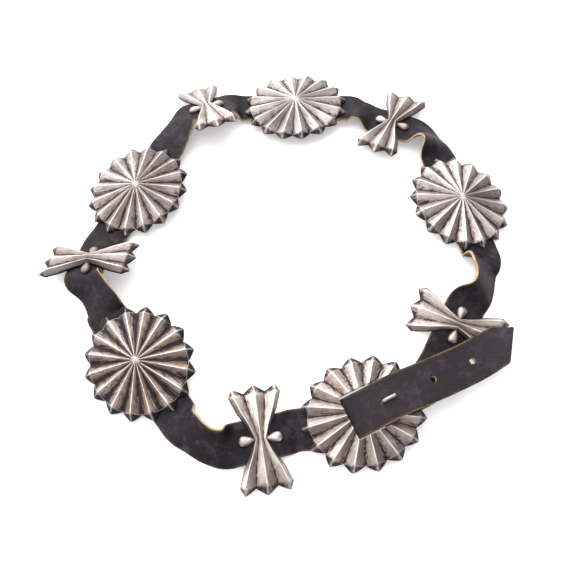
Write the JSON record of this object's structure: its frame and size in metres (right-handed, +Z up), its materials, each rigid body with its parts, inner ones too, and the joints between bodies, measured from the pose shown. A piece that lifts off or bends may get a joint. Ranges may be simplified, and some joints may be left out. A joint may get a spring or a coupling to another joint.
{
  "type": "concho belt",
  "caption": "Closed leather belt lying flat, with oval fluted metal plates, bow-tie spacers between them and a fluted ring buckle with a hook tongue; worn round the waist.",
  "frame": {"origin": "middle of the belt's footprint on the surface it lies on", "axes": "+Z up from the surface; the buckle lies towards -Y and +X; the free end points to +X"},
  "size_m": [0.313, 0.3182, 0.0243],
  "materials": {
    "silver": "worn silver with dark tarnish in the valleys",
    "dull_silver": "dull worn silver, pitted at the waists",
    "leather": "smooth black leather with brown cut edges and worn patches"
  },
  "bodies": {
    "root": {"concho_1": "silver", "concho_2": "silver", "concho_3": "silver", "concho_4": "silver", "buckle": "silver", "buckle_tongue": "silver", "butterfly_1": "dull_silver", "butterfly_2": "dull_silver", "butterfly_3": "dull_silver", "butterfly_4": "dull_silver", "butterfly_5": "dull_silver", "strap_rivet": "dull_silver", "strap": "leather"}
  },
  "joints": []
}
